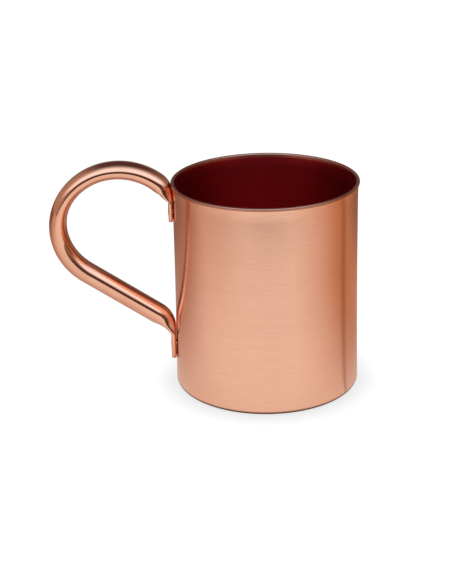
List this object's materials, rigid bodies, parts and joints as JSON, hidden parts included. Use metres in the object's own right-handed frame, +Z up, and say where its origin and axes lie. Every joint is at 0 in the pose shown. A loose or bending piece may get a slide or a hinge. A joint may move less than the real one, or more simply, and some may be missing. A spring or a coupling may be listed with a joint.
{
  "type": "copper mug",
  "caption": "Straight-sided copper drinking mug with a rounded lip and a bent tube handle whose flattened ends are riveted to the wall.",
  "frame": {"origin": "centre of the cup's flat base, on the surface the mug stands on", "axes": "+Z up along the cup's axis, -X towards the handle, +Y across, with the handle in the plane Y = 0"},
  "size_m": [0.1373, 0.083, 0.1045],
  "materials": {
    "cup_copper": "copper, satin, fine brushing round the wall",
    "handle_copper": "copper, polished",
    "rivet_copper": "copper, hammered and lightly polished"
  },
  "bodies": {
    "root": {"cup_body": "cup_copper", "handle": "handle_copper", "upper_rivet": "rivet_copper", "lower_rivet": "rivet_copper"}
  },
  "joints": []
}
